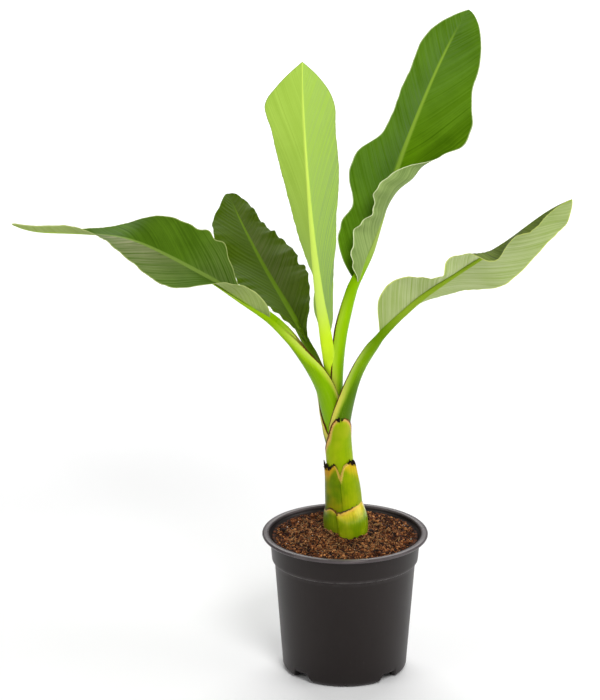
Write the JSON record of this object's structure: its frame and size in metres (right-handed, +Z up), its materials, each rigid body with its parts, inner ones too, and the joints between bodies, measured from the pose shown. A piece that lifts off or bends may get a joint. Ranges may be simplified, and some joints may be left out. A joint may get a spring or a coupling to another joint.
{
  "type": "potted banana plant",
  "caption": "Young banana plant with broad arching leaves on a short sheathed stem, standing in a round black nursery pot of peat soil.",
  "frame": {"origin": "middle of the pot's flat underside", "axes": "+Z up along the pot's axis, -Y to the front, +X to the right of someone who looks from the front"},
  "size_m": [0.5528, 0.4146, 0.6727],
  "materials": {
    "pot_plastic": "satin black moulded plastic",
    "peat": "crumbly moist peat",
    "stem_flesh": "smooth waxy yellow-green",
    "sheath": "waxy yellow-green with brown dried edges",
    "stalk": "smooth waxy lime green",
    "young_blade": "pale yellow-green leaf with fine parallel veins",
    "blade": "green leaf with fine parallel veins and a paler underside"
  },
  "bodies": {
    "root": {"pot": "pot_plastic", "soil": "peat", "stem": "stem_flesh", "sheath_upper_front": "sheath", "sheath_upper_back": "sheath", "sheath_middle_right": "sheath", "sheath_middle_left": "sheath", "sheath_middle_back": "sheath", "sheath_foot_right": "sheath", "sheath_foot_left": "sheath", "stalk_centre": "stalk", "stalk_tall": "stalk", "stalk_left": "stalk", "stalk_right": "stalk", "stalk_back": "stalk", "blade_centre": "young_blade", "blade_tall": "blade", "blade_left": "blade", "blade_right": "blade", "blade_back": "blade"}
  },
  "joints": []
}
